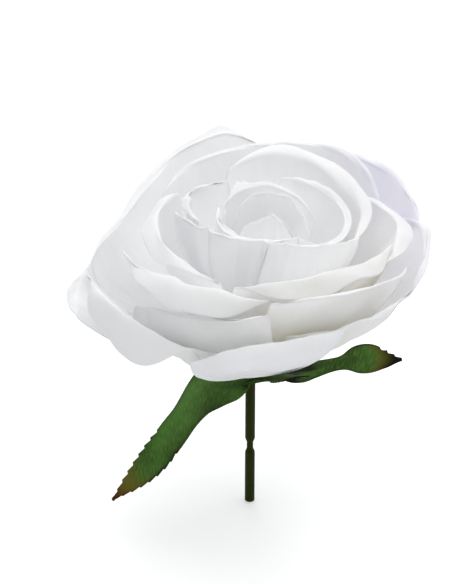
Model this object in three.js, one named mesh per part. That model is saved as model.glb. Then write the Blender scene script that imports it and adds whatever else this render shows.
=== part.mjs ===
// An open artificial rose: one bloom of cut and heat-shaped cloth petals on a short moulded stem,
// with a die-cut green calyx under it. Millimetres, +Z up, origin at the middle of the stem's cut end.
import * as THREE from "three";

// Stem: a round rod with one narrow neck, its upper end pushed into the petal core.
const STEM_RADIUS = 1.65;
const NECK_RADIUS = 1.08;
const NECK_START = 19.2;
const NECK_WAIST_START = 21.4;
const NECK_WAIST_END = 23.4;
const NECK_END = 25.4;
const STEM_CHAMFER = 0.2;
const STEM_SIDES = 28;

// Bloom: its base stands this high above the stem's cut end, and it leans sideways as it rises.
const BLOOM_BASE = 53.8;
const BLOOM_LEAN = 0.13;
const BLOOM_RADIUS = 60;
const BLOOM_DEPTH = 60;

// The petals' reach and rise below are drawn for a bloom this large and scale with the two sizes above.
const DRAWN_SIZE = 60;

// Petal core: the hidden tapered plug that carries every petal. The petals are seated down its side,
// the innermost just under its top and the outermost just above its foot.
const CORE_RADIUS = 6.5;
const CORE_TAPER = 0.16;
const CORE_TOP = 22.6;
const CORE_FOOT = -5;
const CORE_FOOT_RADIUS = 3.2;
const CORE_SIDES = 32;
const SEAT_HIGHEST = CORE_TOP - 0.6;
const SEAT_LOWEST = 1.3;

// Cloth: thickness of a stiffened petal or sepal, and the clearance between neighbouring pieces.
const CLOTH = 0.5;
const GAP = 0.3;

// Petal shape: how much of its length is cup before the rim line, how narrow its foot is,
// how far across its outline is drawn, and how firmly the lip carries on in the cup's direction.
const CUP_SHARE = 0.72;
const FOOT_WIDTH = 0.45;
const FOOT_LENGTH = 0.45;
const OUTLINE_EDGE = 0.97;
const LIP_GRIP = 0.35;
const CUP_START_PULL = 0.42;
const CUP_END_PULL = 0.36;
const PETAL_COLUMNS = 9;
const PETAL_ROWS = 8;

// Every petal, from the heart outwards. turn is the way it faces (degrees from +X) and spread is half
// its width in degrees. reach and rise place its rim line from one side to the other, lip is the width
// of the cloth beyond that line, start is the angle at which the foot leaves the core, lean the tilt
// of the rim from upright, fall the way the lip points, and corners how square the outline is. A list
// of values runs from one side to the other.
const PETALS = [
  {
    name: "bud_petal_1", turn: 253, spread: 72, start: 75, fall: -24, corners: 3,
    reach: [9.4, 8.2, 7, 7.8, 8.9], rise: [50.8, 54.4, 57.6, 55.4, 49.6], lip: [1.3, 1.3, 1.3],
    lean: [-20],
  },
  {
    name: "bud_petal_2", turn: 65, spread: 100, start: 80, fall: -10, corners: 3.2,
    reach: [12.7, 9.8, 9.8, 11.2, 12.2], rise: [49.8, 52.3, 55.8, 56.8, 54.8], lip: [1.2, 1.2, 1.2],
    lean: [-8],
  },
  {
    name: "bud_petal_3", turn: 104, spread: 94, start: 54, fall: 40, corners: 3,
    reach: [13.4, 13.8, 15, 15.5, 15.5], rise: [51, 55, 58, 57.5, 55.5], lip: [1, 1, 1], lean: [-6],
  },
  {
    name: "bud_petal_4", turn: 8, spread: 86, start: 56, fall: 80, corners: 3.2,
    reach: [15, 21, 22.5, 21.5, 20], rise: [55.5, 51.5, 53, 56, 58], lip: [1, 2.2, 1.5], lean: [0],
  },
  {
    name: "bud_petal_5", turn: 232, spread: 70, start: 56, fall: 80, corners: 3.2,
    reach: [18, 17.2, 18], rise: [56.5, 55, 56], lip: [1.2, 1.6, 1.2], lean: [-4],
  },
  {
    name: "inner_petal_1", turn: 45, spread: 88, start: 54, fall: 90, corners: 3.2,
    reach: [27, 27.5, 27.5, 31, 27], rise: [52, 53.5, 57, 60.5, 58], lip: [2.5, 3.2, 3],
    lean: [2, 2, 8, 24, 8],
  },
  {
    name: "inner_petal_2", turn: 166, spread: 43, start: 54, fall: 100, corners: 2.8,
    reach: [22.5, 27.5, 25.5], rise: [57.5, 59, 57], lip: [2, 2.5, 1.5], lean: [2],
  },
  {
    name: "inner_petal_3", turn: 228, spread: 52, start: 52, fall: 40, corners: 3.4,
    reach: [31.5, 28, 24, 21.2, 20.6], rise: [56.5, 57.5, 57, 57, 57], lip: [0.8, 1, 0.8], lean: [0],
  },
  {
    name: "inner_petal_4", turn: 299, spread: 41, start: 50, fall: 40, corners: 3,
    reach: [22.9, 25.7, 29.2], rise: [57.5, 56.3, 53.5], lip: [0.8, 1, 1], lean: [0],
  },
  {
    name: "middle_petal_1", turn: 200, spread: 50, start: 42, fall: 110, corners: 3.2,
    reach: [33, 35.8, 37, 36.4, 35.6], rise: [55.5, 54.6, 53, 50.9, 48.5], lip: [4, 5.6, 4.6, 2, 1.2],
    lean: [8],
  },
  {
    name: "middle_petal_2", turn: 293, spread: 48, start: 42, fall: 110, corners: 3,
    reach: [37.5, 38, 39.5], rise: [49.5, 53.5, 54], lip: [4, 8, 6], lean: [30],
  },
  {
    name: "middle_petal_3", turn: 0, spread: 44, start: 42, fall: 100, corners: 3,
    reach: [43, 40, 38, 35, 31], rise: [50.5, 52, 52.8, 51.8, 50], lip: [5, 5, 5.2, 4.2, 1.5],
    lean: [14],
  },
  {
    name: "middle_petal_4", turn: 232, spread: 45, start: 38, fall: 118, corners: 3,
    reach: [48, 43.5, 41.5], rise: [48, 50, 48], lip: [1.4, 4.4, 9.6, 9, 4], lean: [30],
  },
  {
    name: "middle_petal_5", turn: 59, spread: 40, start: 35, fall: 50, corners: 2.8,
    reach: [37, 40, 43.5, 44, 43], rise: [51, 54.5, 57.5, 58.5, 57], lip: [1.5, 2, 2], lean: [22],
  },
  {
    name: "middle_petal_6", turn: 100, spread: 46, start: 34, fall: 50, corners: 2.6,
    reach: [47.5, 49.5, 51, 50, 46], rise: [52, 54.5, 53.5, 50, 44], lip: [1.5, 1.5, 1.5],
    lean: [24, 30, 26],
  },
  {
    name: "outer_petal_1", turn: 301, spread: 38, start: 36, fall: 60, corners: 3,
    reach: [47, 48.3, 48.5, 47.4, 45.4], rise: [50, 52.3, 51.8, 49.5, 47], lip: [1, 1, 1], lean: [4],
  },
  {
    name: "outer_petal_2", turn: 241.4, spread: 33.4, start: 37, fall: 90, corners: 2.6,
    reach: [49, 49.5, 48.8, 48.8, 49], rise: [37, 41, 44, 45.6, 48.2], lip: [2, 1.5, 1], lean: [2],
  },
  {
    name: "outer_petal_3", turn: 352, spread: 36, start: 40, fall: 80, corners: 3,
    reach: [48, 48.2, 48.6, 49, 44], rise: [38.5, 40, 42.5, 45, 45], lip: [1, 1, 1.6, 2.4, 2],
    lean: [26],
  },
  {
    name: "outer_petal_4", turn: 136, spread: 50, start: 30, fall: 60, corners: 3,
    reach: [52, 58, 58, 53.5, 51, 53.5, 56.5], rise: [51, 54.5, 52.6, 47.6, 42.5, 39.5, 37],
    lip: [1, 2.5, 2.5], lean: [22],
  },
  {
    name: "outer_petal_5", turn: 297, spread: 24, start: 24, fall: 84, corners: 3,
    reach: [47, 49.5, 53], rise: [41, 43.2, 44], lip: [1, 1.6, 3], lean: [18, 24, 32],
  },
  {
    name: "outer_petal_6", turn: 46, spread: 37, start: 28, fall: 60, corners: 2.8,
    reach: [49.5, 52, 51.5], rise: [45, 52, 53.8], lip: [2, 2, 2], lean: [24],
  },
  {
    name: "outer_petal_7", turn: 216.5, spread: 31.5, start: 22, fall: 150, corners: 3,
    reach: [57, 54, 49.5], rise: [39, 38, 32], lip: [2.6, 6, 9.6, 12.4, 12.5], lean: [34],
  },
  {
    name: "outer_petal_8", turn: 177, spread: 24, start: 20, fall: 110, corners: 2.6,
    reach: [54, 58, 60.5], rise: [32, 30, 27], lip: [3, 4, 4], lean: [50],
  },
  {
    name: "outer_petal_9", turn: 270.4, spread: 27.5, start: 24, fall: 125, corners: 5.5,
    reach: [51, 51, 51.3], rise: [29, 35.5, 38.5, 41, 42], lip: [6.5, 8, 8.2, 8, 5], lean: [31],
  },
];

// Bud heart: a strip rolled into a loose cone that stands on the core. The girth is its radius at
// even steps of its height, as a share of the full radius.
const HEART_TURNS = 2.2;
const HEART_START = 1.1;
const HEART_RADIUS = 4.6;
const HEART_GIRTH = [0.55, 0.9, 1, 0.85];
const HEART_TOP = 50;
const HEART_FIRST_ANGLE = 40;
const HEART_COLUMNS = 30;
const HEART_ROWS = 5;

// Calyx: a collar round the core's foot, trimmed short of both its ends, and five sepals cut in one
// piece with it. turn is the way a sepal points, out and up place its middle line from the collar to
// the tip, and roll turns it about that line. half is its half width, from the collar over the broad
// lobe, the waist and the blade to the tip.
const COLLAR_GAP = 0.35;
const COLLAR_LOW_TRIM = 0.6;
const COLLAR_HIGH_TRIM = 1;
const TOOTH_START = 0.5;
const TOOTH_DEPTH = 0.8;
const SEPAL_COLUMNS = 4;
const SEPAL_ROWS = 26;
const SEPAL_BLEND = 0.16;
const SEPALS = [
  {
    turn: [258, 219, 208.5, 207, 206], out: [17.4, 28.5, 38.2, 50.2], up: [-3.4, -15, -28, -38.4],
    roll: [22, 8, -12, -20, -20], half: [5, 16, 15.5, 11, 6, 5.3, 6, 5.3, 3.2, 0.6],
  },
  {
    turn: [296, 293, 291, 290, 289], out: [14, 22, 30, 38], up: [3.6, 8.2, 12.8, 17.8],
    roll: [0, 0, 0, 0, 0], half: [4.5, 7.6, 8.8, 8, 5, 4.6, 5.6, 5.8, 4.4, 0.6],
  },
  {
    turn: [366, 366, 367, 369, 369.3], out: [17.3, 28.2, 39, 50.8], up: [-3.9, -2.4, -1.5, -3.1],
    roll: [0, 0, 24, 48, 45], half: [4.5, 7.4, 7.8, 6.4, 4, 2.9, 4.8, 5.4, 3.8, 0.6],
  },
  {
    turn: [438, 437, 435, 434, 434], out: [15, 25, 35, 46], up: [-1, -2, -4, -8],
    roll: [0, -5, -10, -5, 0], half: [4.5, 7.6, 8.8, 8, 5, 4.6, 5.6, 5.8, 4.4, 0.6],
  },
  {
    turn: [512, 508, 503, 500, 500], out: [15, 25, 34, 43], up: [0, 1, 0, -3],
    roll: [0, 5, 10, 5, 0], half: [4.5, 7.6, 8.8, 8, 5, 4.6, 5.6, 5.8, 4.4, 0.6],
  },
];

const PETAL_WHITE = 0xf3f3f1;
const SEPAL_GREEN = 0x3f6b2a;
const STEM_GREEN = 0x323f16;
const CORE_GREEN = 0x42521f;

const radians = THREE.MathUtils.degToRad;

// A smooth value at t between evenly spaced settings.
function along(settings, t) {
  const points = settings.map((value) => new THREE.Vector2(value, 0));
  return new THREE.SplineCurve(points).getPoint(t).x;
}

// A place in the bloom from its distance out, its bearing and its height, with the bloom's lean.
function inBloom(out, bearing, height) {
  const shift = BLOOM_LEAN * Math.max(height, 0);
  return new THREE.Vector3(out * Math.cos(bearing) + shift, out * Math.sin(bearing), height);
}

// The core's radius at a height above the bloom's base.
function coreRadius(height) {
  return CORE_RADIUS - CORE_TAPER * height;
}

// Two triangles for each cell of a grid of point numbers.
function gridTriangles(numbers) {
  const triangles = [];
  for (let i = 0; i + 1 < numbers.length; i += 1) {
    for (let j = 0; j + 1 < numbers[i].length; j += 1) {
      const [a, b, c, d] = [numbers[i][j], numbers[i + 1][j], numbers[i + 1][j + 1], numbers[i][j + 1]];
      triangles.push([a, b, c], [a, c, d]);
    }
  }
  return triangles;
}

// Cloth from a thin surface: each point is set half the thickness to either side along its normal,
// and every open edge of the surface is closed by a rim.
function clothGeometry(points, triangles) {
  const surface = new THREE.BufferGeometry().setFromPoints(points).setIndex(triangles.flat());
  surface.computeVertexNormals();
  const normals = surface.getAttribute("normal");
  const front = points.map((p, i) => {
    const normal = new THREE.Vector3().fromBufferAttribute(normals, i);
    return p.clone().addScaledVector(normal, CLOTH / 2);
  });
  const back = points.map((p, i) => p.clone().multiplyScalar(2).sub(front[i]));
  const count = points.length;
  const faces = triangles.flatMap(([a, b, c]) => [a, b, c, c + count, b + count, a + count]);
  const edges = triangles.flatMap(([a, b, c]) => [[a, b], [b, c], [c, a]]);
  const known = new Set(edges.map(([a, b]) => `${a} ${b}`));
  for (const [a, b] of edges) {
    if (!known.has(`${b} ${a}`)) {
      faces.push(b, a, a + count, b, a + count, b + count);
    }
  }
  const cloth = new THREE.BufferGeometry().setFromPoints([...front, ...back]).setIndex(faces);
  cloth.computeVertexNormals();
  return cloth;
}

// Cloth from a surface given as a function of two numbers from 0 to 1.
function clothPatch(surface, columns, rows) {
  const points = [];
  const numbers = [];
  for (let i = 0; i <= columns; i += 1) {
    numbers.push([]);
    for (let j = 0; j <= rows; j += 1) {
      numbers[i].push(points.length);
      points.push(surface(i / columns, j / rows));
    }
  }
  return clothGeometry(points, gridTriangles(numbers));
}

// One petal. In each upright plane through the bloom's axis it is a cup curve from the core to the
// rim line and a lip curve beyond it; the outline rounds off towards both sides.
function petalGeometry(petal, place) {
  const seat = THREE.MathUtils.lerp(SEAT_HIGHEST, SEAT_LOWEST, place / (PETALS.length - 1));
  const foot = new THREE.Vector2(coreRadius(seat) + GAP + CLOTH / 2, seat);
  const start = radians(petal.start);
  const fall = radians(petal.fall);

  function surface(across, up) {
    const side = OUTLINE_EDGE * (2 * across - 1);
    const t = (side + 1) / 2;
    const reach = along(petal.reach, t) * (BLOOM_RADIUS / DRAWN_SIZE);
    const rise = along(petal.rise, t) * (BLOOM_DEPTH / DRAWN_SIZE);
    const rim = new THREE.Vector2(reach, rise);
    const length = foot.distanceTo(rim);
    const lean = radians(along(petal.lean, t));
    const leave = new THREE.Vector2(Math.cos(start), Math.sin(start));
    const arrive = new THREE.Vector2(Math.sin(lean), Math.cos(lean));
    const hang = new THREE.Vector2(Math.sin(fall), Math.cos(fall));
    const lip = along(petal.lip, t);
    const cup = new THREE.CubicBezierCurve(
      foot,
      foot.clone().addScaledVector(leave, CUP_START_PULL * length),
      rim.clone().addScaledVector(arrive, -CUP_END_PULL * length),
      rim,
    );
    const edge = new THREE.QuadraticBezierCurve(
      rim,
      rim.clone().addScaledVector(arrive, LIP_GRIP * lip),
      rim.clone().addScaledVector(hang, lip),
    );
    const height = (1 - Math.abs(side) ** petal.corners) ** (1 / petal.corners);
    const way = up * height;
    const onCup = way < CUP_SHARE;
    const spot = onCup ? cup.getPoint(way / CUP_SHARE) : edge.getPoint((way - CUP_SHARE) / (1 - CUP_SHARE));
    const width = THREE.MathUtils.lerp(FOOT_WIDTH, 1, THREE.MathUtils.smoothstep(way, 0, FOOT_LENGTH));
    return inBloom(spot.x, radians(petal.turn + petal.spread * side * width), spot.y);
  }
  return clothPatch(surface, PETAL_COLUMNS, PETAL_ROWS);
}

// The rolled heart of the bud: the strip's radius grows along the roll, and it narrows at both ends
// of its height.
function heartGeometry() {
  const bottom = CORE_TOP + GAP;
  const top = HEART_TOP * (BLOOM_DEPTH / DRAWN_SIZE);
  function surface(around, up) {
    const bearing = radians(HEART_FIRST_ANGLE + 360 * HEART_TURNS * around);
    const radius = THREE.MathUtils.lerp(HEART_START, HEART_RADIUS, around) * along(HEART_GIRTH, up);
    return inBloom(radius, bearing, THREE.MathUtils.lerp(bottom, top, up));
  }
  return clothPatch(surface, HEART_COLUMNS, HEART_ROWS);
}

// The core: a turned plug with a blind socket for the stem in its foot, leaning with the bloom.
function coreGeometry() {
  const socket = STEM_RADIUS + GAP;
  const profile = [
    [0, 0], [socket, 0], [socket, CORE_FOOT], [CORE_FOOT_RADIUS, CORE_FOOT],
    [CORE_RADIUS, 0], [coreRadius(CORE_TOP), CORE_TOP], [0, CORE_TOP],
  ];
  const points = profile.map(([out, height]) => new THREE.Vector2(out, height));
  const core = new THREE.LatheGeometry(points, CORE_SIDES).rotateX(Math.PI / 2);
  const places = core.getAttribute("position");
  for (let i = 0; i < places.count; i += 1) {
    places.setX(i, places.getX(i) + BLOOM_LEAN * Math.max(places.getZ(i), 0));
  }
  return core;
}

// The stem: a turned rod whose upper end stops just short of the socket's end.
function stemGeometry() {
  const top = BLOOM_BASE - GAP;
  const profile = [
    [0, 0], [STEM_RADIUS, 0], [STEM_RADIUS, NECK_START], [NECK_RADIUS, NECK_WAIST_START],
    [NECK_RADIUS, NECK_WAIST_END], [STEM_RADIUS, NECK_END], [STEM_RADIUS, top - STEM_CHAMFER],
    [STEM_RADIUS - STEM_CHAMFER, top], [0, top],
  ];
  const points = profile.map(([out, height]) => new THREE.Vector2(out, height));
  return new THREE.LatheGeometry(points, STEM_SIDES).rotateX(Math.PI / 2);
}

// The calyx: a collar that follows the core's foot, and from its upper edge the five sepals, each a
// strip along its own middle line with teeth on the blade's edges.
function calyxGeometry() {
  const slope = new THREE.Vector2(CORE_RADIUS - CORE_FOOT_RADIUS, -CORE_FOOT).normalize();
  const offset = new THREE.Vector2(slope.y, -slope.x).multiplyScalar(COLLAR_GAP + CLOTH / 2);
  const low = new THREE.Vector2(CORE_FOOT_RADIUS, CORE_FOOT).add(offset);
  low.addScaledVector(slope, COLLAR_LOW_TRIM);
  const high = new THREE.Vector2(CORE_RADIUS, 0).add(offset);
  high.addScaledVector(slope, -COLLAR_HIGH_TRIM);
  const count = SEPALS.length;
  const roots = [...SEPALS.map((sepal) => sepal.turn[0]), SEPALS[0].turn[0] + 360];
  const divides = SEPALS.map((sepal, k) => (roots[k] + roots[k + 1]) / 2);
  const points = [];
  const lower = [];
  const upper = [];
  SEPALS.forEach((sepal, k) => {
    const from = k === 0 ? divides[count - 1] - 360 : divides[k - 1];
    for (let i = 0; i < SEPAL_COLUMNS; i += 1) {
      const bearing = radians(THREE.MathUtils.lerp(from, divides[k], i / SEPAL_COLUMNS));
      lower.push(points.push(inBloom(low.x, bearing, low.y)) - 1);
      upper.push(points.push(inBloom(high.x, bearing, high.y)) - 1);
    }
  });
  const triangles = gridTriangles([[...upper, upper[0]], [...lower, lower[0]]]);

  SEPALS.forEach((sepal, k) => {
    const outs = [high.x, ...sepal.out];
    const ups = [high.y, ...sepal.up];
    const middle = new THREE.CatmullRomCurve3(
      outs.map((out, i) => inBloom(out, radians(sepal.turn[i]), ups[i])),
      false,
      "catmullrom",
    );
    const strip = [];
    for (let i = 0; i <= SEPAL_COLUMNS; i += 1) {
      strip.push([upper[(k * SEPAL_COLUMNS + i) % upper.length]]);
    }
    for (let j = 1; j <= SEPAL_ROWS; j += 1) {
      const s = j / SEPAL_ROWS;
      const heading = middle.getTangent(s);
      const level = new THREE.Vector3(-heading.y, heading.x, 0).normalize();
      const side = level.applyAxisAngle(heading, radians(along(sepal.roll, s)));
      const notched = s > TOOTH_START && j % 2 === 1;
      const half = along(sepal.half, s) - (notched ? TOOTH_DEPTH : 0);
      strip.forEach((column, i) => {
        const across = (2 * i) / SEPAL_COLUMNS - 1;
        const place = middle.getPoint(s).addScaledVector(side, across * half);
        place.lerp(points[column[0]], 1 - THREE.MathUtils.smoothstep(s, 0, SEPAL_BLEND));
        column.push(points.push(place) - 1);
      });
    }
    triangles.push(...gridTriangles(strip));
  });
  return clothGeometry(points, triangles);
}

function piece(name, geometry, color, roughness) {
  const mesh = new THREE.Mesh(geometry, new THREE.MeshStandardMaterial({ color, roughness, metalness: 0 }));
  mesh.name = name;
  return mesh;
}

const bloom = new THREE.Group();
bloom.position.z = BLOOM_BASE;
bloom.add(piece("petal_core", coreGeometry(), CORE_GREEN, 0.6));
bloom.add(piece("calyx", calyxGeometry(), SEPAL_GREEN, 0.8));
bloom.add(piece("bud_heart", heartGeometry(), PETAL_WHITE, 0.75));
PETALS.forEach((petal, place) => {
  bloom.add(piece(petal.name, petalGeometry(petal, place), PETAL_WHITE, 0.75));
});

const rose = new THREE.Group();
rose.add(piece("stem", stemGeometry(), STEM_GREEN, 0.5));
rose.add(bloom);

export default rose;
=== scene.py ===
# %% [markdown]
# # A white artificial rose
# The object is one open rose bloom of heat-shaped polyester cloth on a short moulded stem, with a
# green cloth calyx under it. The solid model gives the frame: where every petal sits and how large it
# is. This notebook builds the cloth that is seen, petal by petal, to the same formula and in the same
# place to within a few millimetres, but on a much finer grid and with the thin rolled edges that a
# solid can't hold.

import bpy
import bmesh
import numpy as np
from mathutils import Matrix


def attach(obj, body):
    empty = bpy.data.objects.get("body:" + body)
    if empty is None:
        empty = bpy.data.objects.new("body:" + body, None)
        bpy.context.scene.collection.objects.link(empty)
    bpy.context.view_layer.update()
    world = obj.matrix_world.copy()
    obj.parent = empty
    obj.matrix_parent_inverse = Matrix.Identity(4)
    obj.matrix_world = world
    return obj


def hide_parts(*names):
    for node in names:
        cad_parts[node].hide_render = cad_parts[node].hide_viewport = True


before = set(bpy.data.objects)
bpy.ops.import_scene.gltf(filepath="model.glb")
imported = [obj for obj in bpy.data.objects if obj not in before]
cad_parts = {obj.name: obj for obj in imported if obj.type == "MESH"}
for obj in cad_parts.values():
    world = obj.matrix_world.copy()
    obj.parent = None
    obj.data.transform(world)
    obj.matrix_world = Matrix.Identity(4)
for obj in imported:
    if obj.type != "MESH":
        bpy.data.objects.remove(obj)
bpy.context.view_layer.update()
MM = 0.001

# %% [markdown]
# ## From a grid of points to a piece of cloth
# Cloth is a surface: two numbers, one across and one along, give a point. Numpy works out all points
# at once as one array, and a mesh takes them as they are. The flat measure of the cloth in millimetres
# goes into a UV map, so that weave and veins can follow the cloth. A Solidify modifier then gives the
# sheet its thickness, which is easier than building two skins and a rim by hand.

# %% Grids, pieces and cloth
def grid_quads(columns, rows):
    """Corner numbers of every cell of a grid of columns by rows points, in order round each cell."""
    number = np.arange(columns * rows).reshape(columns, rows)
    corners = [number[:-1, :-1], number[1:, :-1], number[1:, 1:], number[:-1, 1:]]
    return np.stack(corners, -1).reshape(-1, 4)


def new_piece(name, points, quads, material, flat=None, marks=None):
    """A smooth mesh object from points in millimetres. flat is each point's place on the flat cloth, and
    marks are named values for each point that a material can read."""
    mesh = bpy.data.meshes.new(name)
    mesh.from_pydata(points.reshape(-1, 3) * MM, [], quads.tolist())
    if flat is not None:
        layer = mesh.uv_layers.new(name="cloth")
        layer.data.foreach_set("uv", flat.reshape(-1, 2)[quads.ravel()].ravel())
    for mark, values in (marks or {}).items():
        mesh.attributes.new(mark, "FLOAT", "POINT").data.foreach_set("value", values.ravel())
    mesh.shade_smooth()
    piece = bpy.data.objects.new(name, mesh)
    bpy.context.collection.objects.link(piece)
    mesh.materials.append(material)
    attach(piece, "root")
    return piece


def thicken(piece, thickness):
    """Half of the thickness, in millimetres, to each side of the sheet."""
    solid = piece.modifiers.new("cloth thickness", "SOLIDIFY")
    solid.thickness = thickness * MM
    solid.offset = 0


def cut_size(points):
    """Width, length and area of a grid of cloth laid flat. A cell's area is half the cross product of its
    diagonals. The length is the longest column, and the width the widest row of cells, each cell's
    width being its area over its length."""
    rising = points[1:, 1:] - points[:-1, :-1]
    falling = points[:-1, 1:] - points[1:, :-1]
    areas = np.linalg.norm(np.cross(rising, falling), axis=-1) / 2
    lengths = np.linalg.norm(np.diff(points, axis=1), axis=-1)
    cell_lengths = np.maximum((lengths[1:] + lengths[:-1]) / 2, 1e-6)
    return (areas / cell_lengths).sum(0).max(), lengths.sum(1).max(), areas.sum()


def declare_cloth(piece, points, **held):
    """Works out the flat width, length and area of the sheet. Returns the first two in
    millimetres."""
    width, length, area = cut_size(points)
    return width, length


print("cells in a grid of 3 by 3 points:", len(grid_quads(3, 3)))

# %% [markdown]
# ## Curves through a few settings
# A petal is described by a few settings from one side to the other. A Catmull-Rom curve
# passes through all of them smoothly, so three numbers are enough for a whole rim line. A drawn curve
# object would do the same, but it can't be worked out for thousands of points at once.

# %% Smooth values
def along(settings, t, run_on=False):
    """The value at t, 0 to 1, of a uniform Catmull-Rom curve through evenly spaced settings. Beyond its
    ends the curve repeats the end setting, or runs straight on."""
    settings = np.asarray(settings, float)
    first, last = settings[:1], settings[-1:]
    if run_on:
        first = 2 * first - settings[1:2]
        last = 2 * last - settings[-2:-1]
    padded = np.concatenate([first, settings, last])
    spans = len(settings) - 1
    place = np.clip(t, 0, 1) * spans
    left = np.minimum(place.astype(int), spans - 1)
    f = place - left
    if settings.ndim > 1:
        f = f[..., None]
    before, a, b, after = (padded[left + i] for i in range(4))
    slope_a, slope_b = (b - before) / 2, (after - a) / 2
    cubic = 2 * a - 2 * b + slope_a + slope_b
    square = 3 * b - 3 * a - 2 * slope_a - slope_b
    return ((cubic * f + square) * f + slope_a) * f + a


def smoothstep(value, low, high):
    """0 below low, 1 above high, and between them 3 f squared less 2 f cubed of the share f of the way.
    With low above high it falls instead of rising."""
    f = np.clip((value - low) / (high - low), 0, 1)
    return f * f * (3 - 2 * f)


print("a quarter of the way along 0, 1, 4:", along([0, 1, 4], np.array(0.25)))

# %% [markdown]
# ## One helper for material nodes
# A material is a small network. One function adds a node, sets its settings and plugs its inputs, so
# each material reads as a list of what it is made of. Colours are written as the hex values that a
# painter would pick on screen, and one function turns them into the linear light that Blender uses.

# %% Node helper
def linear(hex_colour):
    """sRGB hex to linear red, green, blue and an alpha of 1."""
    srgb = np.array([int(hex_colour[i:i + 2], 16) for i in (1, 3, 5)]) / 255
    light = np.where(srgb <= 0.04045, srgb / 12.92, ((srgb + 0.055) / 1.055) ** 2.4)
    return (*light, 1.0)


def add(tree, kind, inputs=None, **settings):
    """Adds a shader node. An input that is a socket is linked, and any other input is set as a value."""
    node = tree.nodes.new("ShaderNode" + kind)
    for name, value in settings.items():
        setattr(node, name, value)
    for name, value in (inputs or {}).items():
        if isinstance(value, bpy.types.NodeSocket):
            tree.links.new(value, node.inputs[name])
        else:
            node.inputs[name].default_value = value
    return node


def new_material(name):
    """An empty node material and its tree."""
    material = bpy.data.materials.new(name)
    material.use_nodes = True
    material.node_tree.nodes.clear()
    return material, material.node_tree


# A wave texture repeats every 0.314 units at scale 1, so this over a spacing gives the scale.
WAVE_UNIT = np.pi / 10
# The colour sockets of a Mix node share their names with its other sockets, so they go by number.
MIX_A, MIX_B, MIX_RESULT = 6, 7, 2
print("mid grey on screen, as light:", round(linear("#808080")[0], 3))

# %% [markdown]
# ## Petal cloth
# The petals are white polyester satin, cut hot and pressed into shape. That gives the eye a soft
# white with little gloss, a faint sheen where the cloth turns away, light that passes into the thin
# sheet, soft wrinkles, and fine lengthwise lines from the pressing. Three colours are mixed over the
# white by amounts. The lavender is partly the cloth's own tint and partly painted shade, darker
# towards the back right of the bloom. The grey is painted shade, on the left of the bloom, on the
# lips of the outer petals and on a front wall and lip. The cream is a painted warm glow, where light
# that came through the cloth lights a hollow. Each amount is a named value on the mesh, which can
# follow a petal's own shape better than a pattern could. Threads are about 0.2 mm apart, too fine for
# the picture, so the weave is drawn at 0.6 mm.

# %% White polyester satin
WEAVE_DRAWN = 0.6
PRESS_LINE = 1.1
PRESS_LENGTH = 30
MOTTLE = 16
WRINKLE, WRINKLE_STRETCH = 7, 0.4
# Lavender that is partly the cloth's tint and partly painted shade, grey that is painted shade, and cream
# that is a painted warm glow.
PETAL_TINTS_AND_PAINTED_LIGHT = {"lavender_and_painted_shade": "#e3e1f0", "grey": "#e2e4e7", "painted_warm_glow": "#f9f4e0"}


def petal_satin():
    """A mottled white with three colours mixed over it by their named values: lavender that is partly
    painted shade, grey that is painted shade and cream that is a painted warm glow. Wrinkles, pressed
    lines and the weave are bumps, one on top of the other, and the gloss follows the pressed lines."""
    material, tree = new_material("white polyester satin, heat pressed")
    flat = add(tree, "UVMap", uv_map="cloth").outputs["UV"]
    place = add(tree, "TexCoord").outputs["Object"]
    threads = [
        add(tree, "TexWave", {"Vector": flat, "Scale": WAVE_UNIT / WEAVE_DRAWN}, bands_direction=way)
        for way in "XY"
    ]
    weave = add(tree, "Math", {
        0: threads[0].outputs["Fac"], 1: threads[1].outputs["Fac"],
    }, operation="MULTIPLY")
    stretched = add(tree, "Mapping", {"Vector": flat, "Scale": (1 / PRESS_LINE, 1 / PRESS_LENGTH, 1)})
    lines = add(tree, "TexNoise", {"Vector": stretched.outputs[0], "Scale": 1, "Detail": 3})
    mottle = add(tree, "TexNoise", {"Vector": place, "Scale": 1 / (MOTTLE * MM), "Detail": 2})
    colour = add(tree, "Mix", {
        0: mottle.outputs["Fac"], MIX_A: linear("#fcfcfc"), MIX_B: linear("#f8f8f8"),
    }, data_type="RGBA").outputs[MIX_RESULT]
    # Each colour is laid over the white by its amount: painted shade, painted warm glow, and lavender that
    # is partly painted shade.
    for mark, tint_and_painted_light in PETAL_TINTS_AND_PAINTED_LIGHT.items():
        amount = add(tree, "Attribute", attribute_name=mark).outputs["Fac"]
        colour = add(tree, "Mix", {
            0: amount, MIX_A: colour, MIX_B: linear(tint_and_painted_light),
        }, data_type="RGBA").outputs[MIX_RESULT]
    soft = add(tree, "Mapping", {"Vector": flat, "Scale": (1 / WRINKLE, WRINKLE_STRETCH / WRINKLE, 1)})
    wrinkles = add(tree, "TexNoise", {
        "Vector": soft.outputs[0], "Scale": 1, "Detail": 3, "Distortion": 0.6,
    })
    wrinkled = add(tree, "Bump", {
        "Height": wrinkles.outputs["Fac"], "Strength": 0.5, "Distance": 1.2 * MM,
    })
    pressed = add(tree, "Bump", {
        "Height": lines.outputs["Fac"], "Strength": 0.35, "Distance": 0.3 * MM,
        "Normal": wrinkled.outputs[0],
    })
    woven = add(tree, "Bump", {
        "Height": weave.outputs[0], "Strength": 0.2, "Distance": 0.05 * MM,
        "Normal": pressed.outputs[0],
    })
    gloss = add(tree, "MapRange", {"Value": lines.outputs["Fac"], "To Min": 0.58, "To Max": 0.72})
    cloth = add(tree, "BsdfPrincipled", {
        "Base Color": colour, "Roughness": gloss.outputs[0], "Normal": woven.outputs[0],
        "IOR": 1.46, "Specular IOR Level": 0.3, "Sheen Weight": 0.15, "Sheen Roughness": 0.5,
        "Subsurface Weight": 0.9, "Subsurface Radius": (1, 1, 1), "Subsurface Scale": 1.4 * MM,
    })
    add(tree, "OutputMaterial", {"Surface": cloth.outputs[0]})
    return material


satin = petal_satin()
print("material:", satin.name)

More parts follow.
